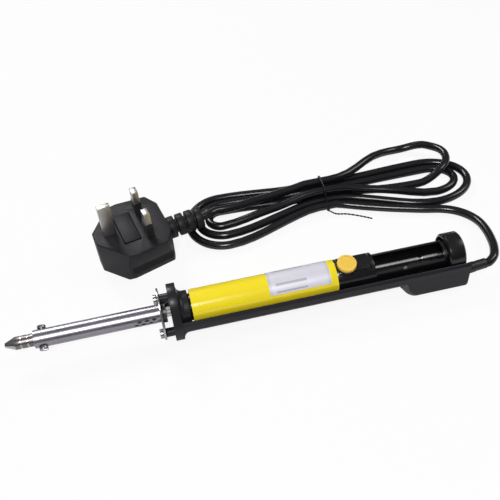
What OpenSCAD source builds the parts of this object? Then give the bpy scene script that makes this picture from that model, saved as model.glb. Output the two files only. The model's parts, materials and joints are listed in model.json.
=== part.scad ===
// Mains desoldering iron with a built-in spring pump, as it lies on a bench.
// Millimetres. X runs from the hot tip (-X) to the cord end (+X), +Z is up, -Y is the near side.
// Lengths along the iron are measured from the end of the tip.

/* [Hot end] */
// How far the tip stands out of its heater tube
tip_out = 16.4; // [12:0.2:24]
// Diameter of the tip's shank
tip_d = 7.5; // [6:0.1:8.5]
// Length of the tip's cone
tip_cone_l = 5.6; // [4:0.2:9]
// Diameter at the cone's end
tip_end_d = 2.6; // [2.2:0.1:4]
// Suction hole in the tip
nozzle_d = 1.2; // [0.8:0.1:1.6]
// Bore behind the suction hole
tip_bore_d = 3.4; // [3:0.1:4.5]
// Outer diameter of the heater tube
tube_d = 10.5; // [9.6:0.1:12]
// Wall of the heater tube
tube_wall = 0.6; // [0.4:0.1:0.9]
// Length of the heater tube in front of its plate
tube_l = 71.6; // [60:0.5:90]
// Head diameter of the tip's clamp screws
clamp_head_d = 5.0; // [4:0.1:6]
// Thread diameter of the tip's clamp screws
clamp_screw_d = 3.0; // [2.5:0.1:3.5]
// Length of one diamond vent
vent_l = 3.6; // [2.4:0.1:5]
// Width of one diamond vent
vent_w = 1.8; // [1.2:0.1:2.2]

/* [Mounting plate] */
// Thickness of the steel plate
plate_t = 1.0; // [0.8:0.1:1.6]
// Distance of the three screws from the axis
screw_r = 11.9; // [10.5:0.1:12.5]
// Thread diameter of the three plate screws
plate_screw_d = 3.0; // [2.5:0.1:3.5]
// Head diameter of the three plate screws
plate_head_d = 5.6; // [4.8:0.1:6.2]
// Gap that the posts keep between plate and guard
post_l = 5.0; // [3.5:0.1:8]
// Diameter of a post
post_d = 5.2; // [4.8:0.1:6]

/* [Handle] */
// Thickness of the hand guard
guard_t = 5.0; // [3.5:0.1:8]
// Distance of the guard's three lobe centres from the axis
guard_lobe_r = 6.0; // [4:0.1:8]
// Radius of a guard lobe
guard_lobe = 11.6; // [10.5:0.1:14]
// Length of the neck behind the guard
neck_l = 5.9; // [4:0.1:10]
// Wall of the neck
neck_wall = 2.3; // [1.8:0.1:2.8]
// Turn of the bar from straight down toward the near side
bar_turn = 52; // [48:1:56]
// Depth of the bar's underside below the axis
bar_h = 13.75; // [13.6:0.05:15]
// Depth of the rear box's underside below the axis
box_h = 21.0; // [19:0.1:23]
// Length of the rear box
box_l = 40.5; // [38:0.5:52]
// Depth of the trough's lips below the axis
lip_t = 8.7; // [8:0.1:9.5]
// Thickness of a lip beside the cap's trough
lip_w = 1.1; // [0.9:0.1:2]
// Thickness of the wall behind the cap
end_wall = 2.0; // [1.6:0.1:4]

/* [Pump] */
// Outer diameter of the yellow barrel
barrel_d = 20.4; // [19.4:0.1:20.6]
// Wall of the barrel
barrel_wall = 1.2; // [1:0.1:1.6]
// Length of the barrel
barrel_l = 85.4; // [75:0.5:100]
// Length of the black body behind the barrel
body_l = 22.9; // [20:0.1:28]
// Step from the barrel's side down to the rear body's side, mm
body_step = 0.3; // [0:0.05:0.7]
// How far the plunger travels into the pump
stroke = 42.5; // [30:0.5:42.5]
// Length of the slotted plunger sleeve that shows
sleeve_l = 44.3; // [44:0.1:50]
// Outer diameter of the plunger sleeve
sleeve_d = 16.8; // [15:0.1:17]
// Wall of the plunger sleeve
sleeve_wall = 1.3; // [1:0.1:1.6]
// Angle that the sleeve's slot opens
slot_a = 96; // [80:1:110]
// Diameter of the plunger rod
rod_d = 3.0; // [2.5:0.1:3.2]
// Outer diameter of the plunger cap
cap_d = 24.2; // [23:0.1:24.4]
// Length of the plunger cap
cap_l = 10.4; // [9:0.1:14]
// Turn of the pump's button from straight up toward the near side
pump_turn = 10; // [0:1:20]
// Diameter of the release button
button_d = 11.4; // [9:0.1:11.6]
// How far the button stands out
button_out = 1.9; // [1.6:0.1:3]
// How far the button goes in
button_travel = 1.2; // [0.8:0.1:1.4]
// Length of the rating label
label_l = 36.3; // [25:0.1:44]
// Angle that the label covers round the barrel
label_a = 104; // [70:1:120]

/* [Cord and plug] */
// Diameter of the cord
cord_d = 5.4; // [4.8:0.1:6.4]
// Length of the sleeve where the cord leaves the handle, from its root
relief_l = 15.2; // [12:0.2:20]
// Height of the plug's face over the bench
plug_h = 24; // [23:0.5:26]
// Distance from the earth pin to the line of the other two pins
pin_pitch = 22.23; // [22.1:0.01:22.4]
// Projection of the line and neutral pins
pin_l = 17.7; // [17.5:0.1:18.2]
// Projection of the earth pin
earth_l = 22.7; // [22.3:0.1:23.2]
// Turn of the plug on the bench
plug_turn = 12; // [0:1:30]

/* [Hidden] */
$fn = 64;

// clearances and small sizes that more than one piece shares
run_gap = 0.2;
seat_gap = 0.05;
slide_gap = 0.3;
cut = 1;
edge = 1.0;
fine_edge = 0.4;
drive_w = 0.8;
arc_steps = 5;

// stations along the iron, from the tip's end
tube_x = tip_out;
clamp_in = 4.5;
clamp_x = tube_x + clamp_in;
plate_x = tube_x + tube_l;
post_x = plate_x + plate_t;
guard_x = post_x + post_l;
neck_x = guard_x + guard_t;
neck_end = neck_x + neck_l;
nose_gap = 1.2;
barrel_x = neck_end + nose_gap;
body_x = barrel_x + barrel_l;
body_end = body_x + body_l;
body_d = barrel_d - 2 * body_step;
cap_x = body_end + sleeve_l;
cap_end = cap_x + cap_l;
wall_x = cap_end + slide_gap;
box_end = wall_x + end_wall;
box_lean = 2.8;
relief_d = 6.6;
relief_tip_d = 6.2;
relief_tilt = 5;
relief_t = 11.9;
relief_in = 3.2;
relief_x = box_end - relief_in;
relief_end_x = relief_x + relief_l * cos(relief_tilt);
total_l = relief_end_x + relief_tip_d / 2 * sin(relief_tilt);

// the handle's section: its flat side lies on the bench, level with the guard's flat
lobe_a = 60;
lobe_steps = 6;
post_count = 3;
post_step = 360 / post_count;
flat_h = guard_lobe_r * cos(lobe_a) + guard_lobe;
ledge_t = 11.0;
trough_d = barrel_d + 2 * slide_gap;
cap_trough_d = cap_d + 2 * slide_gap;
lip_half = sqrt(pow(cap_trough_d / 2, 2) - pow(lip_t, 2)) + lip_w;

// Half-width of the handle's section at a depth, so that one side lies on the bench
function side_at(t) = (flat_h - t * cos(bar_turn)) / sin(bar_turn);

function unit(v) = v / norm(v);
function inward(a, b) = let (d = unit(b - a)) [-d[1], d[0]];
// Points of a convex outline, listed anticlockwise, with every corner rounded by radius r
function rounded(pts, r) = let (n = len(pts)) [
    for (i = [0 : n - 1])
        let (
            o = pts[(i + n - 1) % n],
            p = pts[i],
            q = pts[(i + 1) % n],
            n1 = inward(o, p),
            n2 = inward(p, q),
            c = p + r * (n1 + n2) / (1 + n1 * n2),
            a1 = atan2(-n1[1], -n1[0]),
            turn = acos(min(1, max(-1, n1 * n2)))
        )
        for (k = [0 : arc_steps]) c + r * [cos(a1 + turn * k / arc_steps), sin(a1 + turn * k / arc_steps)]
];

// Corners of the handle's section down to a depth, seen along the iron
function section_pts(h) = [
    [-lip_half, -lip_t],
    [-side_at(ledge_t), -ledge_t],
    [-side_at(h), -h],
    [side_at(h), -h],
    [side_at(ledge_t), -ledge_t],
    [lip_half, -lip_t]
];

// The bench frame's middle lies halfway between the handle's near and far sides
far_y = guard_lobe_r * sin(lobe_a) + guard_lobe;
function near_of(p) = -p[1] * sin(bar_turn) - p[0] * cos(bar_turn);
near_y = max(far_y, max([for (p = rounded(section_pts(box_h), fine_edge)) near_of(p)]));
axis_y = (near_y - far_y) / 2;
axis_z = flat_h;

// Turns the iron's own frame into the bench frame
module on_axis() {
    translate([-total_l / 2, axis_y, axis_z]) children();
}

// The bar's frame: the bar is straight down in it
module bar_frame() {
    on_axis() rotate([-bar_turn, 0, 0]) children();
}

// The pump's frame: the button is straight up in it
module pump_frame() {
    on_axis() rotate([pump_turn, 0, 0]) children();
}

// Extrudes an outline of the YZ plane from x0 to x1
module along(x0, x1) {
    translate([x0, 0, 0]) rotate([90, 0, 90]) linear_extrude(x1 - x0) children();
}

// A cylinder on the axis, from x0 to x1
module rod(x0, x1, d) {
    translate([x0, 0, 0]) rotate([0, 90, 0]) cylinder(h = x1 - x0, d = d);
}

// A tube on the axis, from x0 to x1
module pipe(x0, x1, d, bore) {
    difference() {
        rod(x0, x1, d);
        rod(x0 - cut, x1 + cut, bore);
    }
}

// Revolves an outline of [x, radius] points about the axis
module turned(pts) {
    rotate([0, 90, 0]) rotate_extrude() polygon([for (p = pts) [p[1], p[0]]]);
}

// Hot end
core_d = tube_d - 2 * tube_wall - 2 * seat_gap;
shank_in = 12;
core_gap = 2;
core_x = tip_out + shank_in + core_gap;
core_end = plate_x - core_gap;
pipe_d = 4.2;
pipe_bore = 3.0;
tip_seat = 4;
band_d = tip_d - 0.5;
band_l = 0.9;
band_share = [0.28, 0.64];

module tip() color("silver") on_axis() {
    straight = tip_out - tip_cone_l;
    difference() {
        union() {
            rotate([0, 90, 0]) cylinder(h = tip_cone_l, d1 = tip_end_d, d2 = tip_d);
            rod(tip_cone_l, tip_out + shank_in, tip_d);
        }
        rod(-cut, tip_out + shank_in + cut, nozzle_d);
        rod(tip_cone_l, tip_out + shank_in + cut, tip_bore_d);
        rod(tip_out + shank_in - tip_seat, tip_out + shank_in + cut, pipe_d + 2 * seat_gap);
        for (s = band_share)
            pipe(tip_cone_l + straight * s, tip_cone_l + straight * s + band_l, tip_d + cut, band_d);
    }
}

clamp_a = [68, 248];
clamp_head_t = 1.9;
vent_rows = 3;
vent_columns = 4;
vent_turn = 22;
vent_a0 = 40;
vent_step_share = 1.15;
vent_step = vent_l * vent_step_share;
vent_end_gap = 1.9;
vent_x = plate_x - vent_rows * vent_step - vent_end_gap;

module at_angle(a, r) {
    rotate([-a, 0, 0]) translate([0, 0, -r]) children();
}

module heater_tube() color("gainsboro") on_axis() difference() {
    union() {
        pipe(tube_x, plate_x, tube_d, tube_d - 2 * tube_wall);
        pipe(tube_x, tube_x + tube_wall, tube_d - tube_wall, tip_d + 2 * seat_gap);
    }
    for (a = clamp_a)
        translate([clamp_x, 0, 0]) at_angle(a, tube_d / 2 + cut)
            cylinder(h = tube_wall + 2 * cut, d = clamp_screw_d + 2 * seat_gap);
    for (i = [0 : vent_rows - 1], k = [0 : vent_columns - 1])
        translate([vent_x + (i + (k % 2) / 2) * vent_step, 0, 0])
            at_angle(vent_a0 + k * vent_turn, tube_d / 2 + cut)
                linear_extrude(tube_wall + 2 * cut)
                    polygon([[-vent_l / 2, 0], [0, -vent_w / 2], [vent_l / 2, 0], [0, vent_w / 2]]);
}

module clamp_screws() color("silver") on_axis()
    for (a = clamp_a)
        translate([clamp_x, 0, 0]) at_angle(a, tube_d / 2 + clamp_head_t) difference() {
            union() {
                cylinder(h = clamp_head_t - seat_gap, d = clamp_head_d);
                cylinder(h = clamp_head_t + (tube_d - tip_d) / 2 - seat_gap, d = clamp_screw_d);
            }
            translate([-clamp_head_d, -drive_w / 2, -cut]) cube([2 * clamp_head_d, drive_w, cut + drive_w]);
        }

core_groove = 0.5;
groove_l = 2;
core_turns = 12;
core_pitch = (core_end - core_x) / core_turns;

module heater_core() color("linen") on_axis() difference() {
    rod(core_x, core_end, core_d);
    rod(core_x - cut, core_end + cut, pipe_d + 2 * seat_gap);
    for (i = [0 : core_turns - 1])
        let (x = core_x + (i + 1 / 2) * core_pitch)
            pipe(x - groove_l / 2, x + groove_l / 2, core_d + cut, core_d - 2 * core_groove);
}

nose_d = 15.8;
nose_seat = 4.5;
nose_x = neck_end - nose_seat;
seal_l = 5;
seal_d = 8;

module suction_tube() color("silver") on_axis()
    pipe(tip_out + shank_in - tip_seat + seat_gap, nose_x + seal_l, pipe_d, pipe_bore);

// Plate and leads
lead_d = 1.8;
lead_r = 3.6;
lead_a = [104, 136, 168];
bush_d = 11.8;
bush_t = 2.4;
head_t = 2.3;
plate_lobe_r = 4.4;
plate_lobe = 11.4;

// Three lobes round the axis, one of them at the turn a from straight down
module three_lobes(r, lobe, x0, x1) {
    pts = [for (k = [0 : post_count - 1]) for (j = [-lobe_steps : lobe_steps])
        let (c = lobe_a + k * post_step, b = c + j * lobe_a / lobe_steps)
        [-r * sin(c) - lobe * sin(b), -r * cos(c) - lobe * cos(b)]];
    along(x0, x1) polygon(pts);
}

// One copy of the children at each of the three posts
module at_posts() {
    for (k = [0 : post_count - 1]) at_angle(lobe_a + k * post_step, screw_r) children();
}

module mounting_plate() color("silver") on_axis() difference() {
    three_lobes(plate_lobe_r, plate_lobe, plate_x, post_x);
    rod(plate_x - cut, post_x + cut, pipe_d + 2 * seat_gap);
    at_posts() rod(plate_x - cut, post_x + cut, plate_screw_d + 2 * seat_gap);
    for (a = lead_a) at_angle(a, lead_r) rod(plate_x - cut, post_x + cut, lead_d + 2 * seat_gap);
}

screw_grip = 7;
cross_share = 0.64;
cross_l = plate_head_d * cross_share;

module plate_screws() color("silver") on_axis() at_posts() difference() {
    union() {
        rod(plate_x - head_t, plate_x - seat_gap, plate_head_d);
        rod(plate_x - head_t, post_x + screw_grip, plate_screw_d);
    }
    translate([plate_x - head_t - cut, 0, 0]) {
        translate([0, -cross_l / 2, -drive_w / 2]) cube([cut + drive_w, cross_l, drive_w]);
        translate([0, -drive_w / 2, -cross_l / 2]) cube([cut + drive_w, drive_w, cross_l]);
    }
}

module end_bush() color("dimgray") on_axis() difference() {
    rod(post_x + seat_gap, post_x + bush_t, bush_d);
    rod(post_x - cut, post_x + bush_t + cut, pipe_d + 2 * seat_gap);
    for (a = lead_a) at_angle(a, lead_r) rod(post_x - cut, post_x + bush_t + cut, lead_d + 2 * seat_gap);
}

module heater_leads() color("white") on_axis()
    for (a = lead_a) at_angle(a, lead_r) rod(core_end + seat_gap, neck_x - edge, lead_d);

// Handle
neck_bore = nose_d + 2 * seat_gap;
neck_d = neck_bore + 2 * neck_wall;
front_wall = 3.0;
fillet = 3.2;
box_x = box_end - box_l;
box_round = 6;
box_nose = 7.2;
box_nose_a = 30;
flare = 3.4;
cover_l = 21;
cover_w = 7.2;
cover_t = 1.2;
cover_in = 12;
cover_x = box_x + cover_in;
cover_y = -7.2;
cover_screw_in = 2.5;
cover_screw_x = cover_x + cover_l - cover_screw_in;
cover_screw_d = 2.2;
cover_screw_l = 4.4;
cover_head_d = 4.0;
block_h = 3.0;
block_w = 5.2;
block_l = 14;
block_in = 3;
block_x = cover_x + block_in;
block_y = cover_y - cover_w + edge;
block_wires = 2;
wire_d = 1.4;

module handle_section(h) {
    polygon(rounded(section_pts(h), fine_edge));
}

module box_profile() {
    polygon(concat(
        [[box_x - edge, -lip_t + edge], [box_x, -bar_h + fine_edge]],
        [for (k = [0 : arc_steps]) let (a = box_nose_a + (90 - box_nose_a) * k / arc_steps)
            [box_x + box_nose - box_round * cos(a), -box_h + box_round * (1 - sin(a))]],
        [[box_end - box_lean - edge, -box_h], [box_end - box_lean, -box_h + edge], [box_end, -lip_t + edge]]
    ));
}

// The bar's root sweeps out to meet the guard
module flare_profile() {
    polygon(concat(
        [[neck_x - edge, -lip_t + edge], [neck_x + flare, -lip_t + edge]],
        [for (k = [0 : arc_steps]) let (a = 90 * k / arc_steps)
            [neck_x + flare * (1 - sin(a)), -bar_h - flare * (1 - cos(a))]],
        [[neck_x - edge, -bar_h - flare]]
    ));
}

module neck() {
    turned(concat(
        [[neck_x - edge, 0], [neck_x - edge, neck_d / 2 + fillet]],
        [for (k = [0 : arc_steps]) let (a = 90 * k / arc_steps)
            [neck_x + fillet * (1 - cos(a)), neck_d / 2 + fillet * (1 - sin(a))]],
        [[neck_end - fine_edge, neck_d / 2], [neck_end, neck_d / 2 - fine_edge], [neck_end, 0]]
    ));
}

module handle() color("dimgray") difference() {
    union() {
        on_axis() {
            three_lobes(guard_lobe_r, guard_lobe, guard_x, neck_x);
            at_posts() rod(post_x, guard_x + edge, post_d);
            neck();
        }
        bar_frame() {
            along(neck_x - edge, box_end - edge) handle_section(bar_h);
            intersection() {
                along(neck_x - edge, neck_x + flare) handle_section(bar_h + flare);
                rotate([90, 0, 0]) linear_extrude(4 * box_h, center = true) flare_profile();
            }
            intersection() {
                along(box_x - edge, box_end + edge) handle_section(box_h);
                rotate([90, 0, 0]) linear_extrude(4 * box_h, center = true) box_profile();
            }
        }
    }
    on_axis() {
        rod(guard_x + front_wall, neck_end + cut, neck_bore);
        rod(guard_x - cut, neck_end, seal_d + 2 * seat_gap);
        rod(neck_end, body_end + slide_gap, trough_d);
        rod(body_end + slide_gap - seat_gap, wall_x, cap_trough_d);
        at_posts() rod(post_x - cut, post_x + screw_grip + edge, plate_screw_d + 2 * seat_gap);
        for (a = lead_a) at_angle(a, lead_r) rod(guard_x - cut, neck_x, lead_d + 2 * seat_gap);
    }
    relief_frame() cylinder(h = relief_l, d = relief_d + 2 * seat_gap);
    on_axis() {
        translate([cover_x, cover_y - cover_w, -flat_h - cut]) cube([cover_l, cover_w, cut + cover_t]);
        translate([block_x, block_y, -flat_h - cut]) cube([block_l, block_w, cut + cover_t + block_h]);
        translate([cover_screw_x, cover_y - cover_w / 2, -flat_h - cut])
            cylinder(h = cut + cover_screw_l + edge, d = cover_screw_d + 2 * seat_gap);
    }
}

// The strain relief's frame: +Z runs out along it from its root in the rear wall
module relief_frame() {
    bar_frame() translate([relief_x, 0, -relief_t]) rotate([0, 90 - relief_tilt, 0]) children();
}

module box_cover() color("dimgray") on_axis() difference() {
    translate([cover_x + seat_gap, cover_y - cover_w + seat_gap, -flat_h + fine_edge / 2])
        cube([cover_l - 2 * seat_gap, cover_w - 2 * seat_gap, cover_t - fine_edge / 2 - seat_gap]);
    translate([cover_screw_x, cover_y - cover_w / 2, -flat_h - cut]) {
        cylinder(h = 2 * cut + cover_t, d = cover_screw_d + 2 * seat_gap);
        cylinder(h = cut + cover_t / 2 + seat_gap, d = cover_head_d + 2 * seat_gap);
    }
}

module cover_screw() color("silver") on_axis()
    translate([cover_screw_x, cover_y - cover_w / 2, -flat_h + fine_edge / 2]) {
        cylinder(h = cover_t / 2 - fine_edge / 2, d = cover_head_d);
        cylinder(h = cover_screw_l, d = cover_screw_d);
    }

module terminal_block() color("ivory") on_axis() difference() {
    translate([block_x + seat_gap, block_y + seat_gap, -flat_h + cover_t + seat_gap])
        cube([block_l - 2 * seat_gap, block_w - 2 * seat_gap, block_h - 2 * seat_gap]);
    for (k = [0 : block_wires - 1])
        translate([0, block_y + block_w * (k + 1 / 2) / block_wires, -flat_h + cover_t + block_h / 2])
            rod(block_x - cut, block_x + block_l + cut, wire_d);
}

module strain_relief() color("dimgray") difference() {
    relief_frame() {
        cylinder(h = relief_l / 2, d = relief_d);
        cylinder(h = relief_l, d = relief_tip_d);
    }
    on_axis() rod(cap_x, wall_x + seat_gap, cap_trough_d);
}

// Pump
barrel_bore = barrel_d - 2 * barrel_wall;
nose_in = 5;

module nose_seal() color("firebrick") on_axis()
    pipe(nose_x + 2 * seat_gap, nose_x + seal_l, seal_d, pipe_d + 2 * seat_gap);

module pump_nose() color("dimgray") on_axis() difference() {
    union() {
        rod(nose_x, barrel_x + edge, nose_d);
        rod(barrel_x + seat_gap, barrel_x + nose_in, barrel_bore - 2 * seat_gap);
    }
    rod(nose_x - cut, nose_x + seal_l + seat_gap, seal_d + 2 * seat_gap);
    rod(nose_x, barrel_x + nose_in + cut, pipe_d);
}

barrel_groove = 0.25;
barrel_ring_in = 4;
barrel_ring_x = barrel_x + barrel_ring_in;

module pump_barrel() color("gold") on_axis() difference() {
    pipe(barrel_x, body_x, barrel_d, barrel_bore);
    pipe(barrel_ring_x, barrel_ring_x + fine_edge, barrel_d + cut, barrel_d - barrel_groove);
}

label_t = 0.15;
label_gap = 4.1;
label_x = body_x - label_gap - label_l;

// A ring sector about the axis, centred on the button's side
module sector(x0, x1, d, bore, a) {
    translate([x0, 0, 0]) rotate([0, 90, 0]) rotate([0, 0, 180 - a / 2])
        rotate_extrude(angle = a) translate([bore / 2, 0]) square([(d - bore) / 2, x1 - x0]);
}

module rating_label() color("silver") pump_frame()
    sector(label_x, label_x + label_l, barrel_d + 2 * label_t, barrel_d, label_a);

piston_d = barrel_bore - 2 * run_gap;
piston_l = 9;
spigot_l = 5.5;
piston_end = body_x - spigot_l - slide_gap;
piston_x = piston_end - piston_l;
ring_in = 3;
ring_x = piston_x + ring_in;
rod_seat = 2;
ring_t = 2.4;
ring_depth = 1.6;

module piston() color("dimgray") on_axis() difference() {
    rod(piston_x, piston_end, piston_d);
    pipe(ring_x, ring_x + ring_t, piston_d + cut, piston_d - 2 * ring_depth);
    rod(piston_x + rod_seat, piston_end + cut, rod_d + 2 * seat_gap);
}

module piston_ring() color("black") on_axis()
    pipe(ring_x + seat_gap, ring_x + ring_t - seat_gap, barrel_bore - 2 * seat_gap,
        piston_d - 2 * ring_depth + 2 * seat_gap);

spring_turns = 11;
spring_wire = 1.0;
spring_d = 13;
spring_x = barrel_x + nose_in + seat_gap;
spring_end = piston_x - seat_gap;
coil_sides = 6;
coil_rings = 8;

// One polyhedron swept along points: closed ends, triangles only
module sweep(path, d, sides, up) {
    n = len(path);
    function dir(i) = unit(path[min(i + 1, n - 1)] - path[max(i - 1, 0)]);
    pts = [for (i = [0 : n - 1])
        let (t = dir(i), s = unit(cross(t, up)), w = cross(s, t))
        for (k = [0 : sides - 1]) path[i] + d / 2 * (s * cos(360 * k / sides) + w * sin(360 * k / sides))];
    faces = concat(
        [for (i = [0 : n - 2], k = [0 : sides - 1])
            let (a = i * sides + k, b = i * sides + (k + 1) % sides)
            each [[a, b, b + sides], [a, b + sides, a + sides]]],
        [for (k = [1 : sides - 2]) [0, k + 1, k]],
        [for (k = [1 : sides - 2]) let (e = (n - 1) * sides) [e, e + k, e + k + 1]]
    );
    polyhedron(points = pts, faces = faces);
}

module coil_spring(x0, x1, d, wire, turns) {
    steps = turns * coil_rings;
    r = (d - wire) / 2;
    path = [for (i = [0 : steps]) let (a = 360 * turns * i / steps)
        [x0 + wire / 2 + (x1 - x0 - wire) * i / steps, r * cos(a), r * sin(a)]];
    sweep(path, wire, coil_sides, [1, 0, 0]);
}

module main_spring() color("silver") on_axis()
    coil_spring(spring_x, spring_end, spring_d, spring_wire, spring_turns);

notch_out = 30.1;
notch_x = body_end + notch_out;
latch_x = notch_x - stroke;
latch_l = 2.0;
latch_w = 6.6;
latch_low = 4.2;
latch_hole = 4.2;
notch_l = 2.4;
notch_depth = 0.7;
rod_end = cap_end - edge;

module plunger_rod() color("white") pump_frame() difference() {
    rod(piston_x + rod_seat + seat_gap, rod_end, rod_d);
    pipe(notch_x - notch_l / 2, notch_x + notch_l / 2, rod_d + cut, rod_d - 2 * notch_depth);
}

sleeve_in = 14;
slot_end_gap = 2;

module plunger_sleeve() color("dimgray") pump_frame() difference() {
    pipe(body_end - sleeve_in, cap_end - cap_floor - seat_gap, sleeve_d, sleeve_d - 2 * sleeve_wall);
    sector(body_end - sleeve_in - cut, cap_x - slot_end_gap, sleeve_d + 2 * cut, sleeve_d / 2, slot_a);
    translate([pin_x, 0, 0]) at_pump_angle(pin_a, sleeve_d / 2 + cut)
        cylinder(h = sleeve_wall + 2 * cut, d = pin_d + 2 * seat_gap);
}

pin_out = 18;
pin_x = body_end + pin_out;
pin_a = 58;
pin_d = 2.4;

// Places children on the sleeve's wall, at an angle from the button's side toward the near side
module at_pump_angle(a, r) {
    rotate([a, 0, 0]) translate([0, 0, r]) mirror([0, 0, 1]) children();
}

module sleeve_pin() color("gray") pump_frame() translate([pin_x, 0, 0])
    at_pump_angle(pin_a, sleeve_d / 2 - fine_edge / 2) cylinder(h = sleeve_wall - fine_edge, d = pin_d);

cap_floor = 2.2;
cap_wall = 1.7;
hub_d = 7;
hub_l = 4;

module plunger_cap() color("dimgray") on_axis() difference() {
    union() {
        turned([[cap_x, cap_d / 2 - cap_wall], [cap_x, cap_d / 2 - edge], [cap_x + edge, cap_d / 2],
            [cap_end - edge, cap_d / 2], [cap_end, cap_d / 2 - edge], [cap_end, 0],
            [cap_end - cap_floor, 0], [cap_end - cap_floor, cap_d / 2 - cap_wall]]);
        rod(cap_end - cap_floor - hub_l, cap_end - cap_floor + fine_edge, hub_d);
    }
    rod(cap_x - cut, rod_end + seat_gap, rod_d + 2 * seat_gap);
}

body_bore = sleeve_d + 2 * run_gap;
boss_w = 10.4;
boss_up = 0.5;
boss_r = body_d / 2 + boss_up;
boss_wall = 0.6;
boss_in = 1.4;
boss_end = body_end - boss_in;
button_in = 6.8;
button_x = body_x + button_in;
button_r = boss_r + button_out;
button_h = 3.4;
button_low = button_r - button_h;
well_z = button_low - button_travel - slide_gap;
// a bridge under the well carries the button's spring above the rod
bridge_x = body_x + edge;
bridge_end = latch_x - latch_l / 2 - slide_gap;
bridge_t = 0.9;
bridge_w = 12;
bridge_gap = 2.7;
bridge_low = rod_d / 2 + bridge_gap;
pocket_w = 8.4;
pocket_floor = 1;
button_spring_d = 5;
button_spring_wire = 0.5;
button_spring_turns = 3;

module rear_body() color("dimgray") pump_frame() difference() {
    union() {
        rod(body_x + seat_gap, body_end, body_d);
        rod(body_x - spigot_l, body_x + edge, barrel_bore - 2 * seat_gap);
        intersection() {
            translate([body_x + edge, -boss_w / 2, 0]) cube([boss_end - body_x - edge, boss_w, boss_r]);
            turned([[body_x, 0], [body_x, boss_r + edge], [boss_end - 2 * edge, boss_r + edge],
                [boss_end, boss_r - edge], [boss_end, 0]]);
        }
        translate([button_x, 0, 0]) cylinder(h = boss_r, d = button_d + 2 * boss_wall);
    }
    difference() {
        rod(body_x - spigot_l - cut, body_end + cut, body_bore);
        translate([bridge_x, -bridge_w / 2, well_z - bridge_t])
            cube([bridge_end - bridge_x, bridge_w, bridge_t]);
        translate([bridge_x, -pocket_w / 2, bridge_low])
            cube([bridge_end - bridge_x, pocket_w, well_z - bridge_low]);
    }
    translate([button_x, 0, bridge_low + pocket_floor])
        cylinder(h = boss_r, d = button_spring_d + 2 * run_gap);
    translate([button_x, 0, well_z]) cylinder(h = boss_r, d = button_d + 2 * run_gap);
    translate([latch_x - latch_l / 2 - run_gap, -latch_w / 2 - run_gap, 0])
        cube([latch_l + 2 * run_gap, latch_w + 2 * run_gap, boss_r - edge]);
}

rim_w = 1.2;
dish_depth = 0.25;

module release_button() color("gold") pump_frame() translate([button_x, 0, 0]) difference() {
    union() {
        translate([0, 0, button_low]) cylinder(h = button_h - fine_edge, d = button_d);
        translate([0, 0, button_r - fine_edge])
            cylinder(h = fine_edge, d1 = button_d, d2 = button_d - 2 * fine_edge);
    }
    translate([0, 0, button_r - dish_depth]) cylinder(h = cut, d = button_d - 2 * rim_w);
}

module button_spring() color("silver") pump_frame()
    translate([button_x, 0, 0]) rotate([0, -90, 0])
        coil_spring(bridge_low + pocket_floor + seat_gap, button_low - seat_gap, button_spring_d,
            button_spring_wire, button_spring_turns);

// The latch hangs from the button round the rod; its hole's lower edge catches the rod's notch
module latch_plate() color("silver") pump_frame() difference() {
    translate([latch_x - latch_l / 2, -latch_w / 2, -latch_low])
        cube([latch_l, latch_w, latch_low + button_low - seat_gap]);
    translate([latch_x - latch_l, -latch_hole / 2, -rod_d / 2 - slide_gap])
        cube([2 * latch_l, latch_hole, rod_d + button_travel + 2 * slide_gap]);
}

// Plug, in its own frame: the earth pin's foot is the origin, +X leads to the cord, +Z is up off the face
plug_x = -216.9;
plug_y = 64.4;
plug_rear = 35.6;
plug_half = [[-10.3, 5.3], [4.6, 24.2], [11, 25.4], [30.6, 23.4], [plug_rear, 13.6]];
foot_half = [[-10, 4.4], [2, 20], [6.4, 20.8], [plug_rear - 1.6, 17], [plug_rear, 12.6]];
plug_round = 1.6;
plug_lip = 1.6;
plug_foot = 3;
grip_d = 9;
grip_bite = 2;
grip_x = 8;
grip_z = -16.4;
grip_lift = 1.6;
pin_half = pin_pitch / 2;
pin_root = 6;
pin_wide = 6.35;
pin_thick = 4;
earth_wide = 8;
sleeve_h = 9.5;
sleeve_t = 0.3;
rib_count = 4;
rib_d = 14.4;
rib_l = 4.6;
rib_gap = 1.5;
rib_core = 9;
sleeve_root = rib_gap + plug_foot;
plug_sleeve_z = -12.2;
plug_sleeve_l = rib_count * (rib_l + rib_gap);
sleeve_yaw = 3;
sleeve_rise = 3;
carrier_x = 11;
carrier_l = 10.6;
carrier_w = 27;
carrier_h = 8.4;
carrier_out = 0.7;
fuse_d = 6.3;
fuse_l = 25.4;

// Cord, hank and tie. X is measured from the end of the handle's strain relief, Y from the pump's axis.
cord_z = 2.8;
cord_pitch = 5.9;
layer_rise = 6.0;
tie_x = -74;
tie_y = 84;
waist = 12;
waist_lift = 1.3;
leg_rings = 3;
fold_rings = 8;
hank_sides = 6;
cord_sides = 8;
// Lobes in the cord's order: side, slot in, slot out, reach from the tie, fold length, far and near
// distance from the tie's middle, then the layer at nine stations from the waist round and back
lobes = [
    [1, 1.15, 0, 92, 26, 33, -7.6, [1, 1, 0, 0.7, 1, 1, 0.2, 0, 0]],
    [-1, 0, -0.5, 79, 8, 4.4, -10.2, [0, 0, 0, 0, 0, 0, 0, 0.5, 1]],
    [1, -0.5, 1, 91.5, 17, 6.6, -17.6, [1, 0.7, 0, 0, 0, 0, 0, 0, 0]],
    [-1, 1, -1, 86, 17, 11.5, -19.4, [0, 0, 0, 0, 0, 0, 0, 0, 0]],
    [1, -1, 2, 100, 28, 14, -27.2, [0, 0, 0, 0, 0, 0, 0, 0, 0]],
    [-1, 2, -2, 92.6, 23, 17.8, -28.8, [0, 0, 0, 0, 0, 0, 0, 0, 0]]
];
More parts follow.
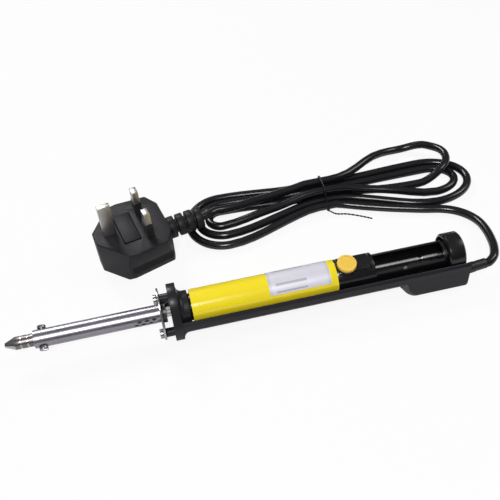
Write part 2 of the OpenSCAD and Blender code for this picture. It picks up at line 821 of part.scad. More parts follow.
// Route from the plug to the tie, between its two ends
lead_route = [[-148, 79, 12.6], [-143, 80.5, 11], [-133, 83, 9.4], [-121, 85.4, 8.9], [-107, 87.6, 8.9],
    [-93, 89.6, 9.4], [-86, 90.6, 10]];
// Route from the tie to the handle, between its two ends
exit_route = [[-62, 70.6, 3.3], [-52, 66.6, 2.8], [-37, 60.4, 2.8], [-25, 56, 2.8], [-14, 52.2, 2.8],
    [-3, 49, 2.8], [5, 44.8, 2.8], [11, 38.2, 3.2], [14.2, 29.5, 4.2], [14.3, 19.5, 5.6], [12.8, 10, 7],
    [10.6, 2.2, 8.2], [7.2, -4.6, 8.7]];

// Puts the cord's frame on the bench behind the handle
module cord_frame() {
    translate([relief_end_x - total_l / 2, axis_y, 0]) children();
}

function smooth(t) = let (u = min(1, max(0, t))) u * u * (3 - 2 * u);
function layer_at(levels, k) = let (i = min(len(levels) - 2, floor(k)))
    levels[i] + (levels[i + 1] - levels[i]) * smooth(k - i);
function lift_at(t) = cord_z + waist_lift * (1 - smooth(3 * t));
function leg_point(x0, xm, y0, ym, t, layer) =
    [x0 + (xm - x0) * t, y0 + (ym - y0) * smooth(t), lift_at(t) + layer_rise * layer];
// One lobe: a leg out from the waist, a half-ellipse fold and a leg back
function lobe_points(lobe, leg, fold) = let (
    side = lobe[0],
    y_in = tie_y + cord_pitch * lobe[1],
    y_out = tie_y + cord_pitch * lobe[2],
    x0 = tie_x + side * waist / 2,
    xm = tie_x + side * (lobe[3] - lobe[4]),
    mid = tie_y + (lobe[5] + lobe[6]) / 2,
    half = (lobe[5] - lobe[6]) / 2 * (y_in > y_out ? 1 : -1),
    levels = lobe[7]
) concat(
    [for (i = [0 : leg - 1]) leg_point(x0, xm, y_in, mid + half, i / leg, layer_at(levels, 2 * i / leg))],
    [for (i = [0 : fold]) let (a = 180 * i / fold)
        [xm + side * lobe[4] * sin(a), mid + half * cos(a),
            cord_z + layer_rise * layer_at(levels, 2 + 4 * i / fold)]],
    [for (i = [1 : leg]) let (t = 1 - i / leg)
        leg_point(x0, xm, y_out, mid - half, t, layer_at(levels, 8 - 2 * t))]
);
function slot_point(x, lobe, k, layer) =
    [tie_x + x, tie_y + cord_pitch * lobe[k], cord_z + waist_lift + layer_rise * layer];
hank_start = slot_point(-waist / 2, lobes[0], 1, 1);
hank_end = slot_point(waist / 2, lobes[len(lobes) - 1], 2, 0);
hank_lobes = [for (lobe = lobes) each lobe_points(lobe, leg_rings, fold_rings)];
hank_route = concat([hank_start], hank_lobes, [hank_end]);

// Points along a route, four to a stretch, each with its distance from the start
stretch_points = 4;
apart_share = 5;
function step_to(route, i) = i < len(route) - 1 ? norm(route[i + 1] - route[i]) : 0;
function lengths(route) = [for (i = 0, l = 0; i < len(route); l = l + step_to(route, i), i = i + 1) l];
function dense(route) = let (l = lengths(route), m = stretch_points)
    [for (i = [0 : len(route) - 2], k = [0 : m - 1])
        [route[i] + (route[i + 1] - route[i]) * k / m, l[i] + (l[i + 1] - l[i]) * k / m]];
function least_gap(route, d) = let (q = dense(route), n = len(q))
    min([for (i = [0 : n - 1]) for (j = [i + 1 : n - 1])
        if (q[j][1] - q[i][1] > apart_share * d) norm(q[j][0] - q[i][0])]) - d;

// The cord's two ends: in the plug's sleeve and in the handle's
relief_out = [cos(relief_tilt), sin(relief_tilt) * sin(bar_turn), sin(relief_tilt) * cos(bar_turn)];
relief_depth = relief_t - relief_l * sin(relief_tilt);
relief_end = [0, -relief_depth * sin(bar_turn), axis_z - relief_depth * cos(bar_turn)];
plug_yaw = plug_turn - sleeve_yaw;
plug_out = [cos(plug_yaw) * cos(sleeve_rise), sin(plug_yaw) * cos(sleeve_rise), sin(sleeve_rise)];
plug_back = [plug_x + plug_rear * cos(plug_turn), plug_y + plug_rear * sin(plug_turn),
    plug_h + plug_sleeve_z];
plug_end = plug_back + plug_out * plug_sleeve_l;

// Lead between the plug and the tied hank
module cord_lead() color("dimgray") cord_frame()
    sweep(concat([plug_end, plug_end + plug_out * cord_d], lead_route,
        [hank_start - [cord_d, 0, 0] / 2, hank_start]), cord_d, cord_sides, [0, 0, 1]);

module cord_exit() color("dimgray") cord_frame()
    sweep(concat([hank_end, hank_end + [cord_d, 0, 0] / 4], exit_route,
        [relief_end + relief_out * cord_d / 2, relief_end]), cord_d, cord_sides, [0, 0, 1]);

module cord_hank() color("dimgray") cord_frame() {
    echo(cord_least_gap_mm = least_gap(hank_route, cord_d));
    echo(hank_length_mm = lengths(hank_route)[len(hank_route) - 1]);
    sweep(hank_route, cord_d, hank_sides, [0, 0, 1]);
}

tie_d = 1.2;
tie_gap = 0.15;
tail_route = [[-74, 68.8, 2.6], [-70, 65.4, 1], [-63, 63, 0.8], [-55, 58.5, 0.8], [-49, 54, 1.6]];

// The tie's hole round the bundle, clear of it by a small gap
function tie_corners(g) = let (
    low = cord_z + waist_lift - cord_d / 2 - g,
    top = cord_z + waist_lift + layer_rise + cord_d / 2 + g,
    side = cord_z + waist_lift + cord_d / 2,
    y0 = tie_y - 2 * cord_pitch - cord_d / 2 - g,
    y1 = tie_y + 2 * cord_pitch + cord_d / 2 + g,
    y2 = tie_y + lobes[0][1] * cord_pitch + cord_d / 2 + g,
    y3 = tie_y + lobes[1][2] * cord_pitch - cord_d / 2 - g
) [[y0, low], [y1, low], [y1, side], [y2, top], [y3, top], [y0, side]];

module twist_tie() color("dimgray") cord_frame() {
    along(tie_x - tie_d / 2, tie_x + tie_d / 2) difference() {
        polygon(rounded(tie_corners(tie_d), 2 * tie_d));
        polygon(rounded(tie_corners(tie_gap), tie_d));
    }
    sweep(tail_route, tie_d, cord_sides, [0, 0, 1]);
}

// Plug
module plug_frame() {
    cord_frame() translate([plug_x, plug_y, plug_h]) rotate([0, 0, plug_turn]) children();
}

function inset(pts, d) = let (n = len(pts)) [for (i = [0 : n - 1])
    let (n1 = inward(pts[(i + n - 1) % n], pts[i]), n2 = inward(pts[i], pts[(i + 1) % n]))
    pts[i] + d * (n1 + n2) / (1 + n1 * n2)];

// An outline from its half on the line pin's side
function both_sides(half) = concat([for (p = half) [p[0], -p[1]]],
    [for (i = [len(half) - 1 : -1 : 0]) half[i]]);

// A slab of the plug's body between two heights, drawn in from its outline
module plug_slab(half, z0, z1, d) {
    translate([0, 0, z0]) linear_extrude(z1 - z0) polygon(rounded(inset(both_sides(half), d), plug_round));
}

// The hollow for a finger along each long side
module grips() {
    p = foot_half[len(foot_half) - 2];
    q = foot_half[2];
    lean = atan2(q[1] - p[1], p[0] - q[0]);
    for (side = [0, 1]) mirror([0, side, 0])
        translate([grip_x, q[1] + grip_d / 2 - grip_bite + grip_lift, grip_z]) rotate([0, 0, -lean]) {
            rotate([0, 90, 0]) cylinder(h = 2 * plug_rear, d = grip_d);
            sphere(d = grip_d);
        }
}

// A block centred at x, y that rises from z0 to z1
module block(x, y, lx, ly, z0, z1) {
    translate([x - lx / 2, y - ly / 2, z0]) cube([lx, ly, z1 - z0]);
}

module plug_body() color("dimgray") plug_frame() difference() {
    hull() {
        plug_slab(plug_half, -plug_lip, -fine_edge, 0);
        plug_slab(plug_half, -2 * fine_edge, 0, fine_edge);
        plug_slab(foot_half, -plug_h, -plug_h + fine_edge, 0);
    }
    grips();
    block(0, 0, earth_wide + 2 * seat_gap, pin_thick + 2 * seat_gap, -pin_root, cut);
    for (side = [-1, 1])
        block(pin_pitch, side * pin_half, pin_thick + 2 * seat_gap, pin_wide + 2 * seat_gap, -pin_root, cut);
    block(carrier_x, 0, carrier_l + 2 * slide_gap, carrier_w + 2 * slide_gap, -carrier_h - slide_gap, cut);
    sleeve_frame() translate([0, 0, -sleeve_root - seat_gap])
        cylinder(h = 2 * sleeve_root, d = rib_core + 2 * seat_gap);
}

// The frame of the plug's cord sleeve: +Z runs out along it from the plug's rear
module sleeve_frame() {
    translate([plug_rear, 0, plug_sleeve_z]) rotate([0, 0, -sleeve_yaw]) rotate([0, 90 - sleeve_rise, 0])
        children();
}

module earth_pin() color("silver") plug_frame()
    block(0, 0, earth_wide, pin_thick, -pin_root + seat_gap, earth_l);

module side_pin(side) {
    plug_frame() block(pin_pitch, side * pin_half, pin_thick, pin_wide, -pin_root + seat_gap, pin_l);
}

module line_pin() color("silver") side_pin(1);

module neutral_pin() color("silver") side_pin(-1);

module pin_sleeves() color("dimgray") plug_frame()
    for (side = [-1, 1]) difference() {
        block(pin_pitch, side * pin_half, pin_thick + 2 * sleeve_t, pin_wide + 2 * sleeve_t,
            seat_gap, sleeve_h);
        block(pin_pitch, side * pin_half, pin_thick, pin_wide, -cut, sleeve_h + cut);
    }

module fuse_carrier() color("dimgray") plug_frame() difference() {
    block(carrier_x, 0, carrier_l, carrier_w, -carrier_h, carrier_out);
    translate([carrier_x, -fuse_l / 2 - seat_gap, -carrier_h / 2]) rotate([-90, 0, 0])
        cylinder(h = fuse_l + 2 * seat_gap, d = fuse_d + 2 * seat_gap);
}

module fuse() color("white") plug_frame()
    translate([carrier_x, -fuse_l / 2, -carrier_h / 2]) rotate([-90, 0, 0]) cylinder(h = fuse_l, d = fuse_d);

module plug_relief() color("dimgray") plug_frame() sleeve_frame() {
    translate([0, 0, -sleeve_root]) cylinder(h = sleeve_root + plug_sleeve_l - edge, d = rib_core);
    for (i = [0 : rib_count - 1])
        translate([0, 0, rib_gap + i * (rib_l + rib_gap)]) cylinder(h = rib_l, d = rib_d);
}

tip();
heater_tube();
clamp_screws();
heater_core();
suction_tube();
mounting_plate();
plate_screws();
end_bush();
heater_leads();
handle();
box_cover();
cover_screw();
terminal_block();
strain_relief();
pump_nose();
nose_seal();
pump_barrel();
rating_label();
main_spring();
piston();
piston_ring();
plunger_rod();
plunger_sleeve();
plunger_cap();
sleeve_pin();
rear_body();
release_button();
button_spring();
latch_plate();
cord_lead();
cord_hank();
cord_exit();
twist_tie();
plug_body();
plug_relief();
earth_pin();
line_pin();
neutral_pin();
pin_sleeves();
fuse_carrier();
fuse();
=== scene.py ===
"""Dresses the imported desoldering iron: finishes, the free cord, its tie and the studio."""

import json
import logging
import math
from dataclasses import dataclass
from enum import Enum
from typing import Any, Iterable, Protocol, Sequence

import bpy
from mathutils import Matrix, Vector

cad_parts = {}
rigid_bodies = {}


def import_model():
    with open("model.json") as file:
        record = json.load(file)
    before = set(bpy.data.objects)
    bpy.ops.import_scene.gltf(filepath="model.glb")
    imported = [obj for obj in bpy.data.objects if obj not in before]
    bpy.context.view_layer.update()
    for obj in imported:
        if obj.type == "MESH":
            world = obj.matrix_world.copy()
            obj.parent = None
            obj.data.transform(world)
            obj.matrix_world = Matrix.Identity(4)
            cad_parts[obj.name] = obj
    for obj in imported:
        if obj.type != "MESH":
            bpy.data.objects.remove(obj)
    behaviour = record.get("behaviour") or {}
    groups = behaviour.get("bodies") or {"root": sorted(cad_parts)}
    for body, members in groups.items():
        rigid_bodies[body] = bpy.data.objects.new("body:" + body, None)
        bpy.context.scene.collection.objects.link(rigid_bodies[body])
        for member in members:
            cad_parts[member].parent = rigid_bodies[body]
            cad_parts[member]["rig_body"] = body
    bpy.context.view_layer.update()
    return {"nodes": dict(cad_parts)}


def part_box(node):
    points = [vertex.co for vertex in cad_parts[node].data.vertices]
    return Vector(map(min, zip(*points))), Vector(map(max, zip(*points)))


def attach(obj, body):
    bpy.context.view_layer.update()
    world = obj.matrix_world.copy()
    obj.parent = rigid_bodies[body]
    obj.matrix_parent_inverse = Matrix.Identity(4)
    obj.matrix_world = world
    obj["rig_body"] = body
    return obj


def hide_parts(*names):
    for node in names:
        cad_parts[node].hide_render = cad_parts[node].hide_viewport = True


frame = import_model()

LOG = logging.getLogger("iron")
MM = 0.001
BODY = "handle"
OPAQUE = 1.0
JOIN_GAP = 1e-6
FLAT_ANGLE = 0.5
EDGE_ANGLE = 32.0
BEVEL_STEPS = 2
TUBE_STEPS = 5
MIX_A = 6
MIX_B = 7
MIX_RESULT = 2
LEG_STATIONS = 2
FOLD_STATIONS = 4
ALL_LOW = (0,) * (LEG_STATIONS + FOLD_STATIONS + LEG_STATIONS + 1)
Point = tuple[float, float, float]
Colour = tuple[float, float, float]


class Sock:
    """A node's output that adds Math nodes when it is used in an expression."""

    def __init__(self, nodes: "Nodes", socket: bpy.types.NodeSocket) -> None:
        """Keeps the socket and the tree that it belongs to."""
        self.nodes = nodes
        self.socket = socket

    def _math(self, operation: str, *values: Any) -> "Sock":
        """Adds one Math node."""
        return self.nodes.node("ShaderNodeMath", {"operation": operation}, dict(enumerate(values)))

    def __add__(self, other: Any) -> "Sock":
        """Sum."""
        return self._math("ADD", self, other)

    __radd__ = __add__

    def __mul__(self, other: Any) -> "Sock":
        """Product."""
        return self._math("MULTIPLY", self, other)

    def __sub__(self, other: Any) -> "Sock":
        """Difference."""
        return self._math("SUBTRACT", self, other)

    def __rsub__(self, other: Any) -> "Sock":
        """Difference with a number on the left."""
        return self._math("SUBTRACT", other, self)

    def root(self) -> "Sock":
        """Square root."""
        return self._math("SQRT", self)

    def wave(self) -> "Sock":
        """Sine."""
        return self._math("SINE", self)

    def ramp(self, low: float, high: float) -> "Sock":
        """Smooth mask, 0 at low and 1 at high.

        Args:
            low: the value that gives 0.
            high: the value that gives 1.

        Returns:
            The mask's socket.
        """
        if low > high:
            return 1 - self.ramp(high, low)
        ends = {"Value": self, "From Min": low, "From Max": high}
        return self.nodes.node("ShaderNodeMapRange", {"interpolation_type": "SMOOTHSTEP"}, ends)

    def band(self, low: float, high: float, soft: float) -> "Sock":
        """Mask of the values between low and high, with soft ends."""
        return self.ramp(low - soft, low + soft) * self.ramp(high + soft, high - soft)


class Nodes:
    """A node tree that is filled node by node."""

    def __init__(self, tree: bpy.types.NodeTree) -> None:
        """Keeps the tree."""
        self.tree = tree

    def node(self, kind: str, settings: dict[str, Any] | None = None,
             inputs: dict[int | str, Any] | None = None, output: int | str = 0) -> Sock:
        """Adds one node.

        Args:
            kind: the node's type.
            settings: attributes that are set first.
            inputs: values or sockets, by input name or number.
            output: the output that is returned.

        Returns:
            The output's socket.
        """
        made = self.tree.nodes.new(kind)
        for key, value in (settings or {}).items():
            setattr(made, key, value)
        for key, value in (inputs or {}).items():
            self.feed(made.inputs[key], value)
        return Sock(self, made.outputs[output])

    def feed(self, target: bpy.types.NodeSocket, value: Any) -> None:
        """Links a socket or sets a value.

        Args:
            target: the input that is fed.
            value: a socket, a number, a vector or a colour.
        """
        if isinstance(value, Sock):
            self.tree.links.new(value.socket, target)
        elif target.type == "RGBA":
            target.default_value = (*value, OPAQUE)
        else:
            target.default_value = value


class Shader(Nodes):
    """A material's node tree on Object coordinates."""

    def __init__(self, name: str) -> None:
        """Makes the material, its Principled BSDF and the sockets of the place on the piece.

        Args:
            name: the material's name.
        """
        self.material = bpy.data.materials.new(name)
        self.material.use_nodes = True
        super().__init__(self.material.node_tree)
        self.tree.nodes.clear()
        self.bsdf = self.tree.nodes.new("ShaderNodeBsdfPrincipled")
        self.surface = self.tree.nodes.new("ShaderNodeOutputMaterial").inputs["Surface"]
        self.tree.links.new(self.bsdf.outputs[0], self.surface)
        self.place = self.node("ShaderNodeTexCoord", output="Object")
        parts = self.tree.nodes.new("ShaderNodeSeparateXYZ")
        self.feed(parts.inputs[0], self.place)
        self.x, self.y, self.z = (Sock(self, part) for part in parts.outputs)

    def noise(self, scale: float, detail: float = 3, stretch: Point = (1, 1, 1)) -> Sock:
        """Noise from 0 to 1, drawn out along an axis whose stretch is small."""
        place = self.node("ShaderNodeVectorMath", {"operation": "MULTIPLY"}, {0: self.place, 1: stretch})
        return self.node("ShaderNodeTexNoise", {}, {"Vector": place, "Scale": scale, "Detail": detail})

    def mix(self, mask: Any, a: Any, b: Any) -> Sock:
        """Colour a where the mask is 0 and b where it is 1."""
        inputs = {"Factor": mask, MIX_A: a, MIX_B: b}
        return self.node("ShaderNodeMix", {"data_type": "RGBA"}, inputs, MIX_RESULT)

    def finish(self, colour: Any, roughness: Any, height: Sock | None = None, depth: float = 0.0,
               **others: float) -> bpy.types.Material:
        """Feeds the shader.

        Args:
            colour: base colour.
            roughness: roughness.
            height: what the bump follows.
            depth: the bump's distance in metres.
            others: the shader's other sockets, each one number.

        Returns:
            The finished material.
        """
        self.feed(self.bsdf.inputs["Base Color"], colour)
        self.feed(self.bsdf.inputs["Roughness"], roughness)
        for key, value in others.items():
            self.bsdf.inputs[key.replace("_", " ")].default_value = value
        if height is not None:
            bump = self.node("ShaderNodeBump", {}, {"Strength": 1.0, "Distance": depth, "Height": height})
            self.feed(self.bsdf.inputs["Normal"], bump)
        return self.material


def scaled(colour: Colour, share: float) -> Colour:
    """A colour made darker or lighter."""
    return tuple(part * share for part in colour)


class Grain(Enum):
    """How a metal's fine marks run: along the iron, round it or evenly."""

    ALONG = (0.08, 1.0, 1.0)
    ROUND = (1.0, 0.12, 0.12)
    EVEN = (1.0, 1.0, 1.0)


class Finish(Protocol):
    """What every finish can do."""

    def build(self) -> bpy.types.Material:
        """Makes the material."""


@dataclass(frozen=True)
class Plastic:
    """Moulded plastic with a fine skin and faint patches that are lighter and duller."""

    name: str
    colour: Colour
    roughness: float = 0.3
    skin: float = 0.000012
    coat: float = 0.0
    vary: float = 0.18
    sheen: float = 0.5
    coat_roughness: float = 0.12
    patch_scale: float = 45
    patch_lift: float = 0.002
    patch_dulls: float = 0.1
    skin_scale: float = 2600
    skin_dulls: float = 0.03

    def build(self) -> bpy.types.Material:
        """Makes the material.

        Returns:
            The plastic's material.
        """
        s = Shader(self.name)
        patches = s.noise(self.patch_scale, detail=4)
        fine = s.noise(self.skin_scale, detail=2)
        darker = scaled(self.colour, 1 - self.vary)
        lighter = tuple(min(1.0, part + self.patch_lift) for part in scaled(self.colour, 1 + self.vary))
        rough = self.roughness - self.patch_dulls / 2 + patches * self.patch_dulls + fine * self.skin_dulls
        return s.finish(s.mix(patches, darker, lighter), rough, fine, self.skin, Coat_Weight=self.coat,
                        Coat_Roughness=self.coat_roughness, Specular_IOR_Level=self.sheen)


@dataclass(frozen=True)
class Metal:
    """Plated or drawn metal with fine marks and clouds of a duller tone."""

    name: str
    colour: Colour
    roughness: float = 0.16
    grain: Grain = Grain.EVEN
    mark: float = 0.000006
    mark_scale: float = 900
    mark_dulls: float = 0.12
    cloud_scale: float = 60
    cloud_dulls: float = 0.06
    cloud_share: float = 0.82
    gleam: float = 0.04

    def build(self) -> bpy.types.Material:
        """Makes the material.

        Returns:
            The metal's material.
        """
        s = Shader(self.name)
        marks = s.noise(self.mark_scale, detail=4, stretch=self.grain.value)
        cloud = s.noise(self.cloud_scale)
        tone = s.mix(cloud, scaled(self.colour, self.cloud_share), self.colour)
        rough = self.roughness - self.gleam + marks * self.mark_dulls + cloud * self.cloud_dulls
        return s.finish(tone, rough, marks, self.mark, Metallic=1.0)


@dataclass(frozen=True)
class PaintedReflectionChrome:
    """Chrome with a dark reflection painted on its shank, broken by two bands left at the bright tone."""

    name: str
    end_x: float
    cone_l: float = 0.0056
    cone_gap: float = 0.0003
    tint_l: float = 0.0164
    bands: tuple[float, float] = (0.0086, 0.0125)
    band_l: float = 0.0009
    soft: float = 0.0001
    bright: tuple[Colour, Colour] = ((0.40, 0.39, 0.40), (0.54, 0.53, 0.55))
    # Tones of the dark reflection painted on the shank.
    painted_dark_reflection: tuple[Colour, Colour] = ((0.10, 0.085, 0.085), (0.24, 0.21, 0.20))
    painted_reflection_share: float = 0.85
    roughness: float = 0.2
    shank_dulls: float = 0.12
    mark_dulls: float = 0.08
    mark: float = 0.000006
    mark_scale: float = 1400
    cloud_scale: float = 220

    def build(self) -> bpy.types.Material:
        """Makes the material.

        Returns:
            The tip's material.
        """
        s = Shader(self.name)
        cloud = s.noise(self.cloud_scale, detail=4)
        marks = s.noise(self.mark_scale, stretch=Grain.ROUND.value)
        along = s.x - self.end_x
        # Mask of the shank's painted dark reflection, less the two bands.
        shank = along.band(self.cone_l + self.cone_gap, self.tint_l, self.soft)
        for start in self.bands:
            shank = shank * (1 - along.band(start, start + self.band_l, self.soft))
        # The shank is painted with a dark reflection; the cone and the two bands keep the bright tone.
        tone = s.mix(shank * self.painted_reflection_share, s.mix(cloud, *self.bright), s.mix(cloud, *self.painted_dark_reflection))
        rough = self.roughness + shank * self.shank_dulls + marks * self.mark_dulls
        return s.finish(tone, rough, marks, self.mark, Metallic=1.0)


@dataclass(frozen=True)
class LabelFoil:
    """Blank silver film with a darker margin and a block of plain rules."""

    name: str
    x0: float
    x1: float
    top: float
    silver: tuple[Colour, Colour] = ((0.70, 0.69, 0.77), (0.80, 0.79, 0.87))
    ink: Colour = (0.16, 0.17, 0.18)
    soft: float = 0.00006
    margin: float = 0.0016
    margin_share: float = 0.16
    rule_rate: float = 2200
    rule_edge: tuple[float, float] = (0.55, 0.75)
    rule_share: float = 0.45
    block_start: float = 0.004
    block_end: float = 0.014
    block_h: float = 0.005
    block_soft: float = 0.0002
    cloud_scale: float = 120
    brush_scale: float = 1500
    brush_dulls: float = 0.16
    brush: float = 0.000004
    roughness: float = 0.34
    metallic: float = 0.2

    def build(self) -> bpy.types.Material:
        """Makes the material.

        Returns:
            The label's material.
        """
        s = Shader(self.name)
        brush = s.noise(self.brush_scale, stretch=Grain.ALONG.value)
        inside = s.x.band(self.x0 + self.margin, self.x1 - self.margin, self.soft)
        row = (s.z * self.rule_rate).wave().ramp(*self.rule_edge)
        block = (s.x.band(self.x0 + self.block_start, self.x1 - self.block_end, self.soft)
                 * s.z.ramp(self.top - self.block_h - self.block_soft, self.top - self.block_h))
        rules = (1 - inside) * self.margin_share + row * block * self.rule_share
        silver = s.mix(s.noise(self.cloud_scale), *self.silver)
        return s.finish(s.mix(rules, silver, self.ink), self.roughness + brush * self.brush_dulls, brush,
                        self.brush, Metallic=self.metallic)


@dataclass(frozen=True)
class ButtonPlastic:
    """Yellow-orange button with a highlight painted in a lighter tone round its edge."""

    name: str
    centre: Point
    tilt: float
    rim_r: float
    face: tuple[Colour, Colour] = ((0.86, 0.54, 0.07), (0.92, 0.61, 0.09))
    # The colour of the highlight painted round the button's edge.
    painted_rim_highlight: Colour = (0.93, 0.62, 0.10)
    rim_soft: float = 0.0004
    roughness: float = 0.28
    patch_scale: float = 300
    patch_dulls: float = 0.08
    skin_scale: float = 2600
    skin: float = 0.000012
    coat: float = 0.2
    coat_roughness: float = 0.15

    def build(self) -> bpy.types.Material:
        """Makes the material.

        Returns:
            The button's material.
        """
        s = Shader(self.name)
        x, y, z = self.centre
        across = (s.y - y) * math.cos(self.tilt) + (s.z - z) * math.sin(self.tilt)
        along = s.x - x
        radius = (along * along + across * across).root()
        # A lighter tone is painted round the button's edge as a highlight.
        painted_rim_highlight = radius.ramp(self.rim_r - self.rim_soft, self.rim_r)
        patches = s.noise(self.patch_scale, detail=4)
        fine = s.noise(self.skin_scale, detail=2)
        tone = s.mix(painted_rim_highlight, s.mix(patches, *self.face), self.painted_rim_highlight)
        return s.finish(tone, self.roughness + patches * self.patch_dulls, fine, self.skin,
                        Coat_Weight=self.coat, Coat_Roughness=self.coat_roughness)


@dataclass(frozen=True)
class Sleeving:
    """Light woven glass sleeving, a little soiled."""

    name: str
    colour: Colour = (0.72, 0.72, 0.70)
    soil_share: float = 0.75
    soil_scale: float = 500
    soil_dulls: float = 0.1
    roughness: float = 0.75
    weave_rate: float = 9000
    weave: float = 0.00008

    def build(self) -> bpy.types.Material:
        """Makes the material.

        Returns:
            The sleeving's material.
        """
        s = Shader(self.name)
        weave = ((s.x + s.y) * self.weave_rate).wave() * ((s.x - s.y) * self.weave_rate).wave()
        soil = s.noise(self.soil_scale, detail=4)
        tone = s.mix(soil, scaled(self.colour, self.soil_share), self.colour)
        return s.finish(tone, self.roughness + soil * self.soil_dulls, weave, self.weave)


@dataclass(frozen=True)
class CordSheath:
    """Satin sheath with faint clouds and a fine skin."""

    name: str
    colour: Colour = (0.0065, 0.0065, 0.0085)
    cloud_shares: tuple[float, float] = (0.7, 1.5)
    cloud_scale: float = 35
    cloud_dulls: float = 0.08
    skin_scale: float = 1800
    skin_dulls: float = 0.05
    skin: float = 0.00001
    roughness: float = 0.16

    def build(self) -> bpy.types.Material:
        """Makes the material.

        Returns:
            The sheath's material.
        """
        s = Shader(self.name)
        cloud = s.noise(self.cloud_scale, detail=4)
        fine = s.noise(self.skin_scale)
        tone = s.mix(cloud, *(scaled(self.colour, share) for share in self.cloud_shares))
        rough = self.roughness + cloud * self.cloud_dulls + fine * self.skin_dulls
        return s.finish(tone, rough, fine, self.skin)


def shell(name: str, bevel: float) -> bpy.types.Object:
    """A copy of a CAD node with joined faces, softened edges and smooth round sides, which replaces it.

    Args:
        name: the CAD node's name.
        bevel: the width of the softened edges, in metres, or 0 for none.

    Returns:
        The new piece.
    """
    node = frame["nodes"][name]
    piece = bpy.data.objects.new(f"{name}_shell", node.data.copy())
    bpy.context.scene.collection.objects.link(piece)
    bpy.ops.object.select_all(action="DESELECT")
    bpy.context.view_layer.objects.active = piece
    piece.select_set(True)
    bpy.ops.mesh.customdata_custom_splitnormals_clear()
    bpy.ops.object.mode_set(mode="EDIT")
    bpy.ops.mesh.select_all(action="SELECT")
    bpy.ops.mesh.remove_doubles(threshold=JOIN_GAP)
    bpy.ops.mesh.dissolve_limited(angle_limit=math.radians(FLAT_ANGLE))
    bpy.ops.object.mode_set(mode="OBJECT")
    if bevel:
        soften = piece.modifiers.new("soften", "BEVEL")
        soften.width = bevel
        soften.segments = BEVEL_STEPS
        soften.limit_method = "ANGLE"
        soften.angle_limit = math.radians(EDGE_ANGLE)
        bpy.ops.object.modifier_apply(modifier="soften")
    bpy.ops.object.shade_smooth_by_angle(angle=math.radians(EDGE_ANGLE))
    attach(piece, node["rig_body"])
    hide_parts(name)
    return piece


def paint(finish: Finish, *nodes: str, bevel: float = 0.0) -> None:
    """Replaces CAD nodes with shells of one finish.

    Args:
        finish: the finish.
        nodes: the CAD nodes' names.
        bevel: the width of softened edges, in metres.
    """
    material = finish.build()
    for name in nodes:
        piece = shell(name, bevel)
        piece.data.materials.clear()
        piece.data.materials.append(material)
        for face in piece.data.polygons:
            face.material_index = 0
        LOG.info("%s: %s", name, material.name)


def smooth(t: float) -> float:
    """Smooth step of t, held between 0 and 1."""
    u = min(1.0, max(0.0, t))
    return u * u * (3 - 2 * u)


def rounded(points: Sequence[Vector], steps: int) -> list[Vector]:
    """Points of a smooth curve through the given ones.

    Args:
        points: the points that the curve goes through.
        steps: points for each stretch.

    Returns:
        The curve's points, both ends included.
    """
    out: list[Vector] = []
    last = len(points) - 1
    for i in range(last):
        p0, p1, p2, p3 = (points[min(last, max(0, i + k))] for k in (-1, 0, 1, 2))
        for k in range(steps):
            t = k / steps
            out.append(0.5 * (2 * p1 + (p2 - p0) * t + (2 * p0 - 5 * p1 + 4 * p2 - p3) * t ** 2
                              + (3 * p1 - 3 * p2 + p3 - p0) * t ** 3))
    return [*out, points[-1]]


def tube(name: str, routes: Iterable[Sequence[Vector]], diameter: float,
         cyclic: bool = False) -> bpy.types.Object:
    """Makes a round curve along each route.

    Args:
        name: the piece's name.
        routes: the routes' points, in metres.
        diameter: the tube's diameter in metres.
        cyclic: closes every route into a ring.

    Returns:
        The curve's object.
    """
    curve = bpy.data.curves.new(name, "CURVE")
    curve.dimensions = "3D"
    curve.bevel_depth = diameter / 2
    curve.bevel_resolution = TUBE_STEPS
    curve.use_fill_caps = True
    for route in routes:
        line = curve.splines.new("POLY")
        line.points.add(len(route) - 1)
        for target, p in zip(line.points, route):
            target.co = (*p, 1)
        line.use_smooth = True
        line.use_cyclic_u = cyclic
    piece = bpy.data.objects.new(name, curve)
    bpy.context.scene.collection.objects.link(piece)
    return piece


@dataclass(frozen=True)
class Lobe:
    """One loop of the hank, in millimetres.

    Attributes:
        side: 1 for a loop away from the plug, -1 for one toward it.
        slot_in: the waist's slot where the loop starts, counted from the tie's middle.
        slot_out: the slot where it ends.
        reach: from the tie to the fold's end.
        fold: the fold's length along the hank.
        far: from the tie's middle to the leg farther from the iron.
        near: the same to the leg nearer the iron, so below zero.
        levels: the layer at each station: two steps on a leg, four on the fold and two on the other leg.
    """

    side: int
    slot_in: float
    slot_out: float
    reach: float
    fold: float
    far: float
    near: float
    levels: tuple[float, ...]

    def layer(self, station: float) -> float:
        """The layer at a station, eased from one to the next."""
        i = min(len(self.levels) - 2, math.floor(station))
        return self.levels[i] + (self.levels[i + 1] - self.levels[i]) * smooth(station - i)


